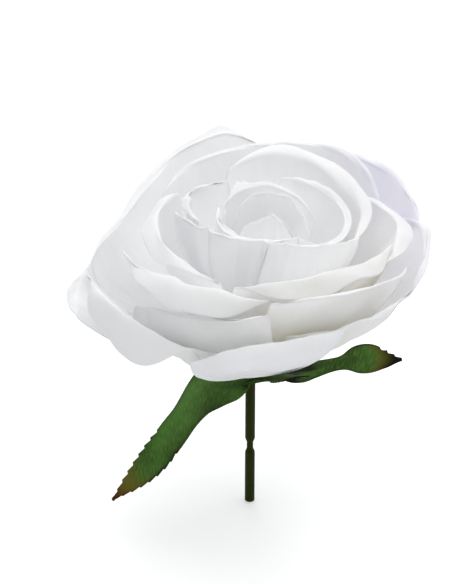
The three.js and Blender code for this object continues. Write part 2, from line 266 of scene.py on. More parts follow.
# %% [markdown]
# ## The shape of one petal
# A petal stands in the bloom like a curved wall. In every upright plane through the bloom's axis it
# is a line: first a cup from the core up to the rim line, then a lip that turns back, and last a small
# roll where the hot iron curled the cut edge. Writing a point of that line as one complex number, with
# the distance out as its real part and the height as its imaginary part, makes a direction a power of
# e and keeps the formulas short. Sculpting each petal by hand would also work, but then none of them
# could be moved or resized by a number.

# %% Petal sizes
BLOOM_BASE = 53.8
BLOOM_LEAN = 0.13
CORE_RADIUS, CORE_TAPER = 6.5, 0.16
SEAT_HIGHEST, SEAT_LOWEST = 22.0, 1.3
SEAT_CLEARANCE = 0.55
CUP_SHARE = 0.72
FOOT_WIDTH = FOOT_LENGTH = 0.45
LIP_GRIP, CUP_START_PULL, CUP_END_PULL = 0.35, 0.42, 0.36
OUTLINE_EDGE = 0.985
PETAL_COLUMNS, PETAL_ROWS, ROLL_ROWS = 97, 72, 8
ROLL_TURN = np.radians(110)
CLOTH = 0.28
LIP_DRIFT, FALL_DRIFT, FALL_FLUTTER = 0.1, 12, 7
RUFFLE, CRUMPLE, FLUTE, ROLL = 0.35, 0.35, 0.25, 0.4
FOLD_FADE = 0.12
print("grid of one petal:", PETAL_COLUMNS, "by", PETAL_ROWS + ROLL_ROWS, "points")


# %% A place in the bloom
def in_bloom(out, bearing, height):
    """A place from the distance out, the bearing and the height; the bloom leans as it rises."""
    x = out * np.cos(bearing) + BLOOM_LEAN * np.maximum(height, 0)
    return np.stack([x, out * np.sin(bearing), height + BLOOM_BASE], -1)


def upright(tilt):
    """The direction that is tilted outwards from upright by so many degrees."""
    return np.exp(1j * np.radians(90 - tilt))


# %% Petal profile
def petal_profile(petal, seat, side, up):
    """The line of each column: a cubic Bezier cup from foot to rim and a quadratic Bezier lip beyond, cut
    short towards the sides by a rounded outline. The lip's length and fall drift from side to side as
    sines, and points lengthen it in narrow bells. Returns the line and how far along each point is."""
    t = (side + 1) / 2
    rim = along(petal["reach"], t) + 1j * along(petal["rise"], t)
    phase, drift = 24 * seat, petal.get("drift", 1)
    lip_drift = LIP_DRIFT * (np.sin(6.1 * side + phase) + 0.5 * np.sin(13.7 * side - phase))
    lip = along(petal["lip"], t) * (1 + drift * lip_drift)
    fall_drift = FALL_DRIFT * np.sin(3.7 * side + phase) + FALL_FLUTTER * np.sin(8.3 * side - phase)
    fall = petal["fall"] + drift * fall_drift
    for spot, length, width in petal.get("points", []):
        lip = lip + length * np.exp(-np.abs((side - spot) / width) ** 1.5)
    foot = CORE_RADIUS - CORE_TAPER * seat + SEAT_CLEARANCE + 1j * seat
    length = np.abs(rim - foot)
    leave = foot + CUP_START_PULL * length * np.exp(1j * np.radians(petal["start"]))
    lean = along(petal["lean"], t)
    arrive = rim - CUP_END_PULL * length * upright(lean)
    grip = rim + LIP_GRIP * lip * upright(lean)
    end = rim + lip * upright(fall)
    corners = petal["corners"]
    height = (1 - np.abs(side) ** corners) ** (1 / corners)
    way = up * height
    c = np.minimum(way / CUP_SHARE, 1)
    e = np.maximum((way - CUP_SHARE) / (1 - CUP_SHARE), 0)
    cup = foot * (1 - c) ** 3 + 3 * leave * (1 - c) ** 2 * c
    cup = cup + 3 * arrive * (1 - c) * c ** 2 + rim * c ** 3
    edge = rim * (1 - e) ** 2 + 2 * grip * (1 - e) * e + end * e ** 2
    return np.where(way < CUP_SHARE, cup, edge), way


# %% Waves and rolled edge
def petal_waves(petal, place, side, way):
    """How far the cloth stands off its smooth shape: slow waves along the lip, shallow flutes up the cup,
    one side that flares out, crumples that are products of sines on the slant, and creases
    up the petal and folds across it, each a narrow bell. The sines keep no step with one another, so no
    wave repeats."""
    phase = 2.4 * place
    lip_wave = np.sin(4.2 * side + phase) + 0.5 * np.sin(9.1 * side - 1.7 * phase)
    waves = petal.get("ruffle", RUFFLE) * lip_wave * smoothstep(way, 0.5, 1)
    in_cup = smoothstep(way, 0.15, 0.5) * (1 - smoothstep(way, 0.6, 0.9))
    waves = waves + FLUTE * np.sin(11 * side + 2 * phase) * in_cup
    waves = waves + petal.get("flare", 0) * smoothstep(side, 0.7, 1) * smoothstep(way, 0.2, 0.6)
    bend = np.sin(7.3 * side + 5.1 * way + phase) * np.sin(9.7 * way - 4.3 * side + 2 * phase)
    bend = bend + 0.5 * np.sin(17 * side - 11 * way + 3 * phase) * np.sin(15 * way + 6 * side - phase)
    waves = waves + petal.get("crumple", CRUMPLE) * bend * smoothstep(way, 0.2, 0.5)
    for spot, depth, width in petal.get("creases", []):
        waves = waves - depth * np.exp(-((side - spot) / width) ** 2) * smoothstep(way, 0.25, 0.6)
    for height, slope, depth, width, first, last in petal.get("folds", []):
        line = height + slope * side
        begun = smoothstep(side, first - FOLD_FADE, first + FOLD_FADE)
        ended = smoothstep(side, last - FOLD_FADE, last + FOLD_FADE)
        waves = waves - depth * np.exp(-((way - line) / width) ** 2) * (begun - ended)
    return waves


def rolled_edge(profile, side, petal):
    """Rows beyond the cut edge: the line goes on and turns outwards and down through a part circle."""
    heading = np.angle(profile[:, -1:] - profile[:, -2:-1])
    step = np.arange(1, ROLL_ROWS + 1)[None, :]
    arc = petal.get("roll", ROLL) * (1 - np.abs(side / OUTLINE_EDGE) ** 8)
    turning = np.exp(1j * (heading - ROLL_TURN * step / ROLL_ROWS))
    return profile[:, -1:] + np.cumsum(turning, axis=1) * arc / ROLL_ROWS


# %% Whole petal
def petal_surface(petal, place, count):
    """The whole petal as a grid of points, each column's side, -1 to 1, and each point's share of the way
    from foot to edge. The profile is moved off along its normal by the waves, gets its rolled edge and
    is carried round the bloom's axis; towards the foot the petal narrows."""
    seat = SEAT_HIGHEST + (SEAT_LOWEST - SEAT_HIGHEST) * place / (count - 1)
    side = OUTLINE_EDGE * np.sin(np.linspace(-np.pi / 2, np.pi / 2, PETAL_COLUMNS))[:, None]
    up = np.linspace(0, 1, PETAL_ROWS)[None, :]
    profile, way = petal_profile(petal, seat, side, up)
    tangent = np.gradient(profile, axis=1)
    outward = -1j * tangent / np.maximum(np.abs(tangent), 1e-9)
    profile = profile + outward * petal_waves(petal, place, side, way)
    profile = np.concatenate([profile, rolled_edge(profile, side, petal)], axis=1)
    way = np.concatenate([way, np.repeat(way[:, -1:], ROLL_ROWS, axis=1)], axis=1)
    width = FOOT_WIDTH + (1 - FOOT_WIDTH) * smoothstep(way, 0, FOOT_LENGTH)
    bearing = np.radians(petal["turn"] + petal["spread"] * side * width)
    return in_bloom(profile.real, bearing, profile.imag), side, way


# %% [markdown]
# ## The petals
# The settings say how each petal stands. turn is the way it faces and spread half its width, both in
# degrees. reach and rise place the rim line from one side to the other, lip is the cloth beyond it.
# start is the angle at which it leaves the core, lean the tilt of its rim and fall the way the lip
# points.
# corners makes the outline square or round. The extras are sizes in millimetres: the ruffle of the
# lip, the crumple of the cloth, the arc of the rolled edge, the flare of one side, creases (side,
# depth, width), points and frayed threads (side, length, width) and folds (height, slope, depth,
# width, first and last side). drift says how much the lip wanders. The colour lists give a colour its
# amounts from side to side and the stretch from foot to edge over which it comes in, or over which it
# goes out if the larger number stands first. These colours are mostly painted light: painted shade,
# painted warm glow, and a lavender that is partly painted shade.

# %% Petal settings
# In the petals' colour lists, grey is painted shade, cream a painted warm glow, and the lavender partly
# painted shade.
PETALS = {
    "bud_petal_1": dict(
        turn=253, spread=72, start=75, lean=[-20], fall=-24, corners=3, ruffle=0.1, roll=0.25,
        reach=[9.4, 8.2, 7, 7.8, 8.9], rise=[50.8, 54.4, 57.6, 55.4, 49.6], lip=[1.3, 1.3, 1.3],
    ),
    "bud_petal_2": dict(
        turn=65, spread=100, start=80, lean=[-8], fall=-10, corners=3.2, ruffle=0.1, roll=0.25,
        reach=[12.7, 9.8, 9.8, 11.2, 12.2], rise=[49.8, 52.3, 55.8, 56.8, 54.8], lip=[1.2, 1.2, 1.2],
    ),
    "bud_petal_3": dict(
        turn=104, spread=94, start=54, lean=[-6], fall=40, corners=3, ruffle=0.15, roll=0.3,
        reach=[13.4, 13.8, 15, 15.5, 15.5], rise=[51, 55, 58, 57.5, 55.5], lip=[1, 1, 1],
        points=[(0.22, 1.8, 0.03), (0.3, 3.4, 0.03), (0.37, 2.4, 0.03), (0.44, 1.6, 0.03)],
    ),
    "bud_petal_4": dict(
        turn=8, spread=86, start=56, lean=[0], fall=80, corners=3.2, ruffle=0.25, roll=0.4,
        reach=[15, 21, 22.5, 21.5, 20], rise=[55.5, 51.5, 53, 56, 58], lip=[1, 2.2, 1.5],
        creases=[(0.55, 0.5, 0.05), (0.7, 0.6, 0.05), (0.4, 0.35, 0.05)],
    ),
    "bud_petal_5": dict(
        turn=232, spread=70, start=56, lean=[-4], fall=80, corners=3.2, ruffle=0.2, roll=0.4,
        reach=[18, 17.2, 18], rise=[56.5, 55, 56], lip=[1.2, 1.6, 1.2],
    ),
    "inner_petal_1": dict(
        turn=45, spread=88, start=54, lean=[2, 2, 8, 24, 8], fall=82, corners=3.2, roll=0.4,
        reach=[26.7, 27.5, 27.5, 31, 27], rise=[52, 53.5, 57, 60.5, 58], lip=[2.5, 3.4, 5.4, 6.8, 4],
    ),
    "inner_petal_2": dict(
        turn=166, spread=43, start=54, lean=[2], fall=100, corners=2.8, roll=0.6,
        reach=[22.5, 27.5, 25.5], rise=[57.5, 59, 57], lip=[0.8, 2.2, 1.5],
        creases=[(0.2, 0.8, 0.07)],
    ),
    "inner_petal_3": dict(
        turn=228, spread=52, start=52, lean=[0], fall=40, corners=3.4, ruffle=0.2, roll=0.4,
        reach=[31.5, 28, 24, 21.2, 20.6], rise=[56.5, 57.5, 57, 57, 57], lip=[0.8, 1, 0.8],
        creases=[(-0.26, 1.5, 0.035), (0.2, 0.4, 0.06), (0.6, 0.4, 0.05)],
        # Painted shade on this front wall.
        tints_and_painted_light=[("grey", [0.3, 0.6, 0.6, 0.3, 0], 0.95, 0.8)],
    ),
    "inner_petal_4": dict(
        turn=299, spread=41, start=50, lean=[0], fall=40, corners=3, ruffle=0.2, roll=0.4,
        reach=[22.9, 25.7, 29.2], rise=[57.5, 56.3, 53.5], lip=[0.8, 1, 1],
        creases=[(-0.55, 0.6, 0.04), (0.1, 0.4, 0.05), (0.45, 0.35, 0.04)], crumple=0.2,
    ),
    "middle_petal_1": dict(
        turn=200, spread=50, start=42, lean=[8], fall=110, corners=3.2, roll=0.8, ruffle=0.5,
        reach=[33, 35.8, 37, 36.4, 35.6], rise=[55.5, 54.6, 53, 50.9, 48.5], lip=[4, 5.6, 4.6, 2, 1.2],
    ),
    "middle_petal_2": dict(
        turn=293, spread=48, start=42, lean=[30], fall=110, corners=3, roll=0.7, ruffle=0.6,
        reach=[37.5, 38, 39.5], rise=[49.5, 53.5, 54], lip=[4, 8, 6],
    ),
    "middle_petal_3": dict(
        turn=0, spread=44, start=42, lean=[14], fall=100, corners=3, roll=0.7, ruffle=0.6, drift=0.4,
        reach=[43, 40, 38, 35, 31], rise=[50.5, 52, 52.8, 51.8, 50], lip=[5, 5, 5.2, 4.2, 1.5],
        tints_and_painted_light=[("painted_warm_glow", [0.7, 0.6, 0.2, 0, 0], 0.85, 0.6)],
    ),
    "middle_petal_4": dict(
        turn=232, spread=45, start=38, lean=[30], fall=118, corners=3, roll=0.7, ruffle=0.7,
        reach=[48, 43.5, 41.5], rise=[48, 50, 48], lip=[1.4, 4.4, 9.6, 9, 4],
        creases=[(-0.1, 0.9, 0.08)],
    ),
    "middle_petal_5": dict(
        turn=59, spread=40, start=35, lean=[22], fall=50, corners=2.8, ruffle=0.6,
        reach=[37, 40, 43.5, 44, 43], rise=[51, 54.5, 57.5, 58.5, 57], lip=[1.5, 2, 2],
        tints_and_painted_light=[("lavender_and_painted_shade", [0.5, 0.4, 0.1, 0, 0], 0.5, 0.8)],
    ),
    "middle_petal_6": dict(
        turn=100, spread=46, start=34, lean=[24, 30, 26], fall=50, corners=2.6, ruffle=0.6,
        reach=[47.5, 49.5, 51, 50, 46], rise=[52, 54.5, 53.5, 50, 44], lip=[1.5, 1.5, 1.5],
        tints_and_painted_light=[("painted_warm_glow", [0, 0.5, 0, 0, 0], 0.85, 1)],
    ),
    "outer_petal_1": dict(
        turn=301, spread=38, start=36, lean=[4], fall=60, corners=3, ruffle=0.3, crumple=0.2,
        reach=[47, 48.3, 48.5, 47.4, 45.4], rise=[50, 52.3, 51.8, 49.5, 47], lip=[1, 1, 1],
        tints_and_painted_light=[("painted_warm_glow", [0.6, 0.5, 0.3, 0.1, 0], 0.85, 0.5)],
    ),
    "outer_petal_2": dict(
        turn=241.4, spread=33.4, start=37, lean=[2], fall=90, corners=2.6, ruffle=0.4, crumple=0.2,
        reach=[49, 49.5, 48.8, 48.8, 49], rise=[37, 41, 44, 45.6, 48.2], lip=[2, 1.5, 1], flare=3,
    ),
    "outer_petal_3": dict(
        turn=352, spread=36, start=40, lean=[26], fall=80, corners=3, ruffle=0.6,
        reach=[48, 48.2, 48.6, 49, 44], rise=[38.5, 40, 42.5, 45, 45], lip=[1, 1, 1.6, 2.4, 2],
        tints_and_painted_light=[("lavender_and_painted_shade", [0.5, 0.4, 0.2], 0.4, 0.8)],
    ),
    "outer_petal_4": dict(
        turn=136, spread=50, start=30, lean=[22], fall=60, corners=3, ruffle=0.5,
        reach=[52, 58, 58, 53.5, 51, 53.5, 56.5], rise=[51, 54.5, 52.6, 47.6, 42.5, 39.5, 37],
        lip=[1, 2.5, 2.5], points=[(-0.6, 6, 0.12)],
        tints_and_painted_light=[("painted_warm_glow", [0, 0.9, 0, 0, 0, 0, 0], 0.9, 1)],
        folds=[(0.82, 0.05, 0.9, 0.02, -0.9, -0.25)],
    ),
    "outer_petal_5": dict(
        turn=297, spread=24, start=27, lean=[18, 24, 32], fall=84, corners=3, ruffle=0.6,
        reach=[45.8, 48.3, 52.8], rise=[37.4, 40.4, 43.6], lip=[1, 1.6, 3],
        tints_and_painted_light=[("lavender_and_painted_shade", [0, 0.2, 0.5], 0.6, 0.9), ("painted_warm_glow", [0.4, 0.3, 0], 0.9, 0.6)],
    ),
    "outer_petal_6": dict(
        turn=46, spread=37, start=28, lean=[24], fall=60, corners=2.8, ruffle=0.6,
        reach=[49.5, 52, 51.5], rise=[45, 52, 53.8], lip=[2, 2, 2],
        tints_and_painted_light=[("lavender_and_painted_shade", [0.9, 1, 0.6, 0.1], 1.02, 0.9)],
    ),
    "outer_petal_7": dict(
        turn=216.5, spread=31.5, start=22, lean=[34], fall=150, corners=3, roll=0.7, ruffle=0.6,
        reach=[57, 54, 49.5], rise=[39, 38, 32], lip=[2.6, 6, 9.6, 12.4, 12.5], drift=0.3,
    ),
    "outer_petal_8": dict(
        turn=177, spread=24, start=20, lean=[50], fall=110, corners=2.6, ruffle=0.5,
        reach=[54, 58, 60.5], rise=[32, 30, 27], lip=[3, 4, 4],
    ),
    "outer_petal_9": dict(
        turn=270.4, spread=27.5, start=24, lean=[31], fall=125, corners=5.5, roll=0.7, ruffle=0.5,
        reach=[51, 51, 51.3], rise=[29, 35.5, 38.5, 41, 42], lip=[6.5, 8, 8.2, 8, 5], drift=0.3,
        # Painted shade on this lip.
        tints_and_painted_light=[("grey", [0.6, 0.6, 0.6], 0.6, 0.8)],
    ),
}
print(len(PETALS), "petals, from", next(iter(PETALS)), "outwards")

# %% Build the petals
# Painted light laid on by place in the bloom: lavender with painted shade towards the back right, grey
# painted shade on the left, and grey painted shade on the lips of the outer petals.
RIGHT_LAVENDER_AND_SHADE, RIGHT_LAVENDER_AND_SHADE_FROM, RIGHT_LAVENDER_AND_SHADE_TO = 0.3, 25, 62
LEFT_PAINTED_SHADE, LEFT_PAINTED_SHADE_FROM, LEFT_PAINTED_SHADE_TO = 0.55, 22, 52
RIM_PAINTED_SHADE, RIM_PAINTED_SHADE_FROM = 0.5, 0.75

for place, (name, petal) in enumerate(PETALS.items()):
    points, side, way = petal_surface(petal, place, len(PETALS))
    columns, rows = way.shape
    half_width = np.radians(petal["spread"]) * np.mean(petal["reach"])
    across = np.linspace(-1, 1, columns)[:, None] * half_width
    steps = np.linalg.norm(np.diff(points, axis=1, prepend=points[:, :1]), axis=-1)
    flat = np.stack([np.broadcast_to(across, way.shape), np.cumsum(steps, axis=1)], -1)
    marks = {mark: 0 * way for mark in PETAL_TINTS_AND_PAINTED_LIGHT}
    # Lavender with painted shade towards the back right, and grey painted shade on the left.
    back_right = points[..., 0] + 0.4 * points[..., 1]
    marks["lavender_and_painted_shade"] = RIGHT_LAVENDER_AND_SHADE * smoothstep(back_right, RIGHT_LAVENDER_AND_SHADE_FROM, RIGHT_LAVENDER_AND_SHADE_TO)
    marks["grey"] = LEFT_PAINTED_SHADE * smoothstep(-points[..., 0], LEFT_PAINTED_SHADE_FROM, LEFT_PAINTED_SHADE_TO)
    # Grey painted shade on the lips of the outer petals.
    if name.startswith("outer"):
        marks["grey"] = np.maximum(marks["grey"], RIM_PAINTED_SHADE * smoothstep(way, RIM_PAINTED_SHADE_FROM, 1))
    # Each petal's own lists add more painted shade, painted warm glow and lavender.
    for mark, amounts, low, high in petal.get("tints_and_painted_light", []):
        marks[mark] = marks[mark] + along(amounts, (side + 1) / 2) * smoothstep(way, low, high)
    piece = new_piece(
        name + "_cloth", points, grid_quads(columns, rows), satin,
        flat=flat, marks=marks,
    )
    thicken(piece, CLOTH)
    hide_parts(name)
    width, length = declare_cloth(piece, points[:, :PETAL_ROWS], rests_on=["petal_core"])
    print(f"{name}: cut {width:.0f} by {length:.0f} mm")

# %% [markdown]
# ## The rolled heart
# In the very middle a strip is rolled into a loose cone, and the bud petals close round it. It is a
# spiral: the radius grows steadily along the roll, and the girth changes with the height. A Screw
# modifier could roll it too, but a formula lets it lean with the bloom.

# %% Bud heart
HEART_TURNS, HEART_FIRST_ANGLE = 2.2, 40
HEART_START, HEART_RADIUS = 1.1, 4.6
HEART_GIRTH = [0.55, 0.9, 1, 0.85]
HEART_BOTTOM, HEART_TOP = 22.9, 50
HEART_COLUMNS, HEART_ROWS = 240, 40

around = np.linspace(0, 1, HEART_COLUMNS)[:, None]
up = np.linspace(0, 1, HEART_ROWS)[None, :]
radius = (HEART_START + (HEART_RADIUS - HEART_START) * around) * along(HEART_GIRTH, up)
bearing = np.radians(HEART_FIRST_ANGLE + 360 * HEART_TURNS * around) + 0 * up
heart_points = in_bloom(radius, bearing, HEART_BOTTOM + (HEART_TOP - HEART_BOTTOM) * up + 0 * around)
steps = np.linalg.norm(np.diff(heart_points, axis=0, prepend=heart_points[:1]), axis=-1)
rolled = np.cumsum(steps, axis=0)
risen = (HEART_TOP - HEART_BOTTOM) * up + 0 * around
heart = new_piece(
    "bud_heart_cloth", heart_points, grid_quads(HEART_COLUMNS, HEART_ROWS), satin,
    flat=np.stack([rolled, risen], -1), marks={mark: 0 * risen for mark in PETAL_TINTS_AND_PAINTED_LIGHT},
)
thicken(heart, CLOTH)
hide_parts("bud_heart")
width, length = declare_cloth(heart, heart_points, rests_on=["petal_core"])
print(f"bud_heart: strip {width:.0f} by {length:.0f} mm")

# %% [markdown]
# ## Sepal cloth
# The calyx is stamped from printed polyester cloth. The print is a mid green, and its tips are olive,
# rust or sooty. Painted shade darkens the edges of each sepal, its root and one side towards the tip,
# the last two in the same black as the tips. Print and painted shade follow each sepal's own shape, so
# each is a named value on the mesh, laid over the green in turn. The weave shows as fine pale threads
# on the slant. Threads are about 0.3 mm apart and are drawn at 0.4 mm so that they show.

# %% Printed green cloth
SEPAL_THREAD = 0.4
THREAD_SLANT, THREAD_STRETCH = np.radians(55), 0.16
SEPAL_CLOUD = 16
# The first colour is painted shade along the sepal edges. The last is the printed black of the tips, also
# used as painted shade on the root and along one edge.
SEPAL_INKS_AND_SHADE = {"painted_edge_shade": "#1d3209", "olive": "#6a5f1e", "rust": "#4a1c0a", "soot": "#0d0f04"}


def sepal_cloth():
    """A blotchy green with pale threads mixed over it, and the printed colours and the painted shade
    over both by their named values. The threads are also a bump."""
    material, tree = new_material("green polyester cloth, printed and stamped")
    flat = add(tree, "UVMap", uv_map="cloth").outputs["UV"]
    place = add(tree, "TexCoord").outputs["Object"]
    slanted = add(tree, "Mapping", {"Vector": flat, "Rotation": (0, 0, THREAD_SLANT)})
    stretched = add(tree, "Mapping", {
        "Vector": slanted.outputs[0], "Scale": (1 / SEPAL_THREAD, THREAD_STRETCH / SEPAL_THREAD, 1),
    })
    threads = add(tree, "TexNoise", {"Vector": stretched.outputs[0], "Scale": 1, "Detail": 2})
    cloud = add(tree, "TexNoise", {"Vector": place, "Scale": 1 / (SEPAL_CLOUD * MM), "Detail": 2})
    pale = add(tree, "MapRange", {
        "Value": threads.outputs["Fac"], "From Min": 0.45, "From Max": 0.8, "To Min": 0, "To Max": 0.4,
    })
    blotch = add(tree, "MapRange", {"Value": cloud.outputs["Fac"], "From Min": 0.35, "From Max": 0.65})
    colour = add(tree, "Mix", {
        0: blotch.outputs[0], MIX_A: linear("#2f4a1a"), MIX_B: linear("#4a7630"),
    }, data_type="RGBA").outputs[MIX_RESULT]
    colour = add(tree, "Mix", {
        0: pale.outputs[0], MIX_A: colour, MIX_B: linear("#86ab4c"),
    }, data_type="RGBA").outputs[MIX_RESULT]
    # The printed colours, and the painted shade on edges, root and one side, are mixed over the green.
    for mark, ink_and_shade in SEPAL_INKS_AND_SHADE.items():
        amount = add(tree, "Attribute", attribute_name=mark).outputs["Fac"]
        colour = add(tree, "Mix", {
            0: amount, MIX_A: colour, MIX_B: linear(ink_and_shade),
        }, data_type="RGBA").outputs[MIX_RESULT]
    woven = add(tree, "Bump", {
        "Height": threads.outputs["Fac"], "Strength": 0.4, "Distance": 0.15 * MM,
    })
    cloth = add(tree, "BsdfPrincipled", {
        "Base Color": colour, "Normal": woven.outputs[0], "Roughness": 0.8, "IOR": 1.46,
        "Specular IOR Level": 0.15,
    })
    add(tree, "OutputMaterial", {"Surface": cloth.outputs[0]})
    return material


green_cloth = sepal_cloth()
print("material:", green_cloth.name)

# %% [markdown]
# ## The calyx
# One stamping makes the collar round the core's foot and five sepals. Each sepal is a ribbon carried
# along its own middle line: at every step the ribbon has a width and a roll about that line. turn, out
# and up place the line, half is half the width and roll is in degrees. Beyond toothed, a share of the
# length, the edges are cut in saw teeth that point to the tip; teeth is their depth on either side.
# soot says how black the printed tip is, and shade how dark the painted shade on the root is. The
# star could be cut out flat and bent, but with a line of its own each sepal can be placed by itself.
# The ribbons start on the collar's edge, and neighbouring points there are merged, so that the calyx
# is one sheet.

# %% Sepal settings
COLLAR_LOW, COLLAR_HIGH = (4.05, -4.81), (6.45, -1.15)
SEPAL_COLUMNS, SEPAL_ROWS, COLLAR_ROWS = 25, 181, 5
SEPAL_BLEND, SEPAL_SAG = 0.16, 0.12
TEETH, TEETH_COME_IN = 20, 0.05
MERGE_DISTANCE = 0.002
SEPAL_CLOTH = 0.35
SEPALS = [
    dict(
        turn=[258, 216.5, 209.6, 207, 206], out=[18.4, 27.6, 38.2, 50.2], up=[-1.2, -15, -28, -38.4],
        roll=[22, 8, -12, -20, -20], half=[5, 15, 15.2, 10.8, 7.2, 6.4, 6.4, 5.3, 3.2, 0.6],
        teeth=(1, 0.6), toothed=0.56, soot=0, shade=0,
    ),
    dict(
        turn=[296, 293, 291, 290, 289], out=[14, 22, 30, 38], up=[3.6, 8.2, 12.8, 17.8],
        roll=[0, 0, 0, 0, 0], half=[4.5, 7.6, 8.8, 8, 5, 4.6, 5.6, 5.8, 4.4, 0.6],
        teeth=(0.8, 0.8), toothed=0.5, soot=1, shade=0.8,
    ),
    dict(
        turn=[366, 366, 367, 369, 369.3], out=[17.3, 28.2, 39, 50.8], up=[-3.1, -1.9, -1.4, -3.1],
        roll=[0, 0, 24, 48, 45], half=[4.5, 7.2, 6.8, 4.3, 2.8, 2.6, 4.6, 4.8, 3.1, 0.6],
        teeth=(0, 1.3), toothed=0.82, soot=1, shade=0.95,
    ),
    dict(
        turn=[438, 437, 435, 434, 434], out=[15, 25, 35, 46], up=[-1, -2, -4, -8],
        roll=[0, -5, -10, -5, 0], half=[4.5, 7.6, 8.8, 8, 5, 4.6, 5.6, 5.8, 4.4, 0.6],
        teeth=(0.8, 0.8), toothed=0.5, soot=0.3, shade=0,
    ),
    dict(
        turn=[512, 508, 503, 500, 500], out=[15, 25, 34, 43], up=[0, 1, 0, -3],
        roll=[0, 5, 10, 5, 0], half=[4.5, 7.6, 8.8, 8, 5, 4.6, 5.6, 5.8, 4.4, 0.6],
        teeth=(0.8, 0.8), toothed=0.5, soot=0.3, shade=0,
    ),
]
print(len(SEPALS), "sepals of", SEPAL_COLUMNS, "by", SEPAL_ROWS, "points")


# %% Sepal and collar surfaces
def sepal_surface(sepal, first, last):
    """A ribbon of cloth: the middle line is a curve through five places, the ribbon lies level across it,
    turned by roll, its half width less a saw wave, and its sides sag with the square of the distance
    across. The root fans out to the collar's edge between two bearings."""
    s = np.linspace(0, 1, SEPAL_ROWS)
    across = np.linspace(-1, 1, SEPAL_COLUMNS)[:, None]
    outs = np.array([COLLAR_HIGH[0], *sepal["out"]])
    ups = np.array([COLLAR_HIGH[1], *sepal["up"]])
    middle = along(in_bloom(outs, np.radians(sepal["turn"]), ups), s, run_on=True)
    heading = np.gradient(middle, axis=0)
    heading = heading / np.linalg.norm(heading, axis=-1, keepdims=True)
    level = np.stack([-heading[:, 1], heading[:, 0], 0 * s], -1)
    level = level / np.linalg.norm(level, axis=-1, keepdims=True)
    roll = np.radians(along(sepal["roll"], s))[:, None]
    sideways = level * np.cos(roll) + np.cross(heading, level) * np.sin(roll)
    upwards = np.cross(heading, sideways)
    saw = (1 - (s * TEETH) % 1) * smoothstep(s, sepal["toothed"], sepal["toothed"] + TEETH_COME_IN)
    depth = np.where(across < 0, *sepal["teeth"])
    half = along(sepal["half"], s) - depth * saw * np.abs(across) ** 3
    sag = SEPAL_SAG * half * across ** 2
    ribbon = middle + (across * half)[..., None] * sideways - sag[..., None] * upwards
    bearing = np.radians(np.linspace(first, last, SEPAL_COLUMNS))
    root = in_bloom(COLLAR_HIGH[0], bearing, COLLAR_HIGH[1] + 0 * bearing)[:, None]
    hold = (1 - smoothstep(s, 0, SEPAL_BLEND))[None, :, None]
    return ribbon + (root - ribbon) * hold, s, across


def collar_surface(first, last):
    """The part of the collar under one sepal: straight from the low ring to the high ring."""
    rise = np.linspace(0, 1, COLLAR_ROWS)[None, :-1]
    bearing = np.radians(np.linspace(first, last, SEPAL_COLUMNS))[:, None] + 0 * rise
    out = COLLAR_LOW[0] + (COLLAR_HIGH[0] - COLLAR_LOW[0]) * rise + 0 * bearing
    height = COLLAR_LOW[1] + (COLLAR_HIGH[1] - COLLAR_LOW[1]) * rise + 0 * bearing
    return in_bloom(out, bearing, height)


# %% Sepal inks and painted shade
def sepal_inks_and_shade(sepal, s, across):
    """How much of each printed colour and of painted shade lies at each point. s runs from 0 at the root
    to 1 at the tip, and across from -1 to 1. The edges are darkened with painted shade, the tip turns
    olive, then rust or soot, the root gets painted shade in the same black but for a strip along one
    side, where the real cloth is folded over, and one edge gets painted shade towards the tip."""
    near_tip = s + 0.06 * np.abs(across) ** 3
    # Painted shade on the root, left off a strip along one side, and on one edge towards the tip.
    folded_strip = smoothstep(-across, 0.15, 0.4) * smoothstep(s, 0.16, 0.24)
    root_painted_shade = sepal["shade"] * (1 - smoothstep(s, 0.28, 0.46)) * (1 - folded_strip)
    edge_painted_shade = 0.85 * smoothstep(across, 0.84, 0.98) * smoothstep(s, 0.5, 0.62)
    tip_soot = sepal["soot"] * smoothstep(near_tip, 0.8, 0.96)
    return {
        # Painted shade along both edges.
        "painted_edge_shade": 0.8 * np.abs(across) ** 6 * smoothstep(s, 0.1, 0.3),
        "olive": 0.85 * smoothstep(near_tip, 0.76, 0.9),
        "rust": (1 - sepal["soot"]) * smoothstep(near_tip, 0.88, 1),
        # The printed black tip and the painted shade on root and edge share one black.
        "soot": np.maximum(np.maximum(root_painted_shade, tip_soot), edge_painted_shade),
    }


# %% Join the calyx
roots = [sepal["turn"][0] for sepal in SEPALS]
divides = [(a + b) / 2 for a, b in zip(roots, roots[1:] + [roots[0] + 360])]
starts = [divides[-1] - 360] + divides[:-1]
sheets, flats, inks_and_shade = [], [], []
for sepal, first, last in zip(SEPALS, starts, divides):
    ribbon, s, across = sepal_surface(sepal, first, last)
    sheet = np.concatenate([collar_surface(first, last), ribbon], axis=1)
    steps = np.linalg.norm(np.diff(sheet, axis=1, prepend=sheet[:, :1]), axis=-1)
    s_all = np.concatenate([np.zeros(COLLAR_ROWS - 1), s])[None, :]
    sheets.append(sheet)
    middle_length = np.cumsum(steps[SEPAL_COLUMNS // 2]) + 0 * across
    flats.append(np.stack([across * along(sepal["half"], s_all), middle_length], -1))
    inks_and_shade.append(sepal_inks_and_shade(sepal, s_all, across))
cells = grid_quads(SEPAL_COLUMNS, SEPAL_ROWS + COLLAR_ROWS - 1)
quads = np.concatenate([cells + i * sheets[0].size // 3 for i in range(len(SEPALS))])
calyx = new_piece(
    "calyx_cloth", np.stack(sheets), quads, green_cloth,
    flat=np.stack(flats), marks={mark: np.stack([ink_and_shade[mark] for ink_and_shade in inks_and_shade]) for mark in SEPAL_INKS_AND_SHADE},
)
joined = bmesh.new()
joined.from_mesh(calyx.data)
bmesh.ops.remove_doubles(joined, verts=joined.verts, dist=MERGE_DISTANCE * MM)
joined.to_mesh(calyx.data)
joined.free()
thicken(calyx, SEPAL_CLOTH)
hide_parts("calyx")

